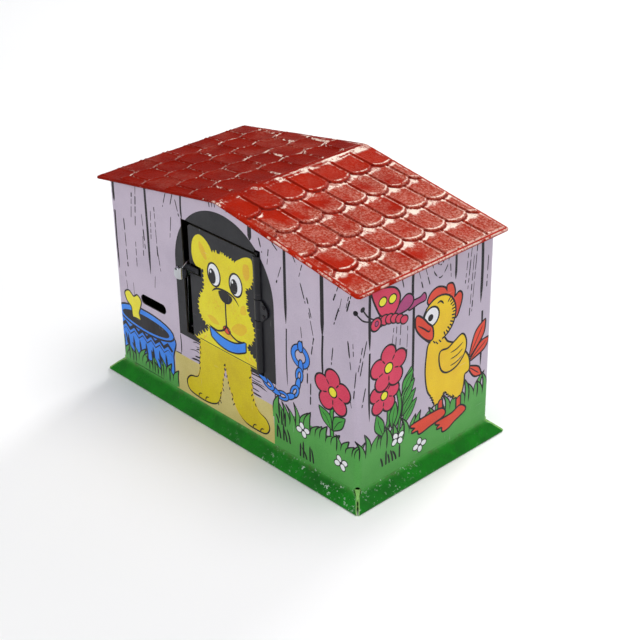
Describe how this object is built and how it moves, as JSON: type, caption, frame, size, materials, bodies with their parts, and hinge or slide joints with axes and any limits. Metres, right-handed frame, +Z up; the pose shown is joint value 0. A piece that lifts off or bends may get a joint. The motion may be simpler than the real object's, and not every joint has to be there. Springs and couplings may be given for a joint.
{
  "type": "mechanical coin bank",
  "caption": "Tin kennel money bank: a coin through the front slot tips a latch lever and the picture door swings open; a base trap empties it.",
  "frame": {"origin": "centre of the house's footprint, on the surface that the bank stands on", "axes": "+Z up; -Y towards the front wall with the door and the coin slot; +X to the right seen from the front, along the longest side"},
  "size_m": [0.1922, 0.1049, 0.1294],
  "materials": {
    "wall_print": "glossy litho print",
    "roof_print": "glossy lacquer, worn",
    "base_print": "glossy lacquer",
    "door_print": "glossy litho print",
    "bright_tin": "bright tinplate",
    "spring_steel": "dull",
    "lock_brass": "plated"
  },
  "bodies": {
    "house": {"house_walls": "wall_print", "roof_sheet": "roof_print", "roof_cleat_front_left": "bright_tin", "roof_cleat_front_right": "bright_tin", "roof_cleat_back_left": "bright_tin", "roof_cleat_back_right": "bright_tin", "base_plate": "base_print", "hinge_leaf": "door_print", "hinge_pin": "bright_tin", "hinge_rivet_lower": "door_print", "hinge_rivet_upper": "door_print", "door_spring": "spring_steel", "coin_chute": "bright_tin", "lever_pivot": "bright_tin", "lever_spring": "spring_steel", "lever_bracket": "bright_tin", "bracket_rivet_left": "bright_tin", "bracket_rivet_right": "bright_tin", "trap_pin": "bright_tin"},
    "door": {"door_plate": "door_print"},
    "lever": {"latch_lever": "bright_tin"},
    "trap": {"trap_door": "base_print", "lock_body": "lock_brass"},
    "lock": {"lock_plug": "lock_brass", "lock_cam": "spring_steel"}
  },
  "joints": [
    {"name": "door_swing", "type": "hinge", "parent": "house", "child": "door", "pos_m": [0.0244, -0.0459, 0.077], "axis": [0, 0, 1], "range_deg": [0, 95]},
    {"name": "lever_tip", "type": "hinge", "parent": "house", "child": "lever", "pos_m": [-0.038, -0.042, 0.033], "axis": [0, -1, 0], "range_deg": [0, 3.5], "stiffness_Nm_per_rad": 0.002, "springref_deg": -20.05},
    {"name": "trap_swing", "type": "hinge", "parent": "house", "child": "trap", "pos_m": [0.03, 0.0186, 0.002], "axis": [1, 0, 0], "range_deg": [0, 100]},
    {"name": "lock_turn", "type": "hinge", "parent": "trap", "child": "lock", "pos_m": [0.03, -0.008, 0.002], "axis": [0, 0, -1], "range_deg": [0, 90]}
  ]
}
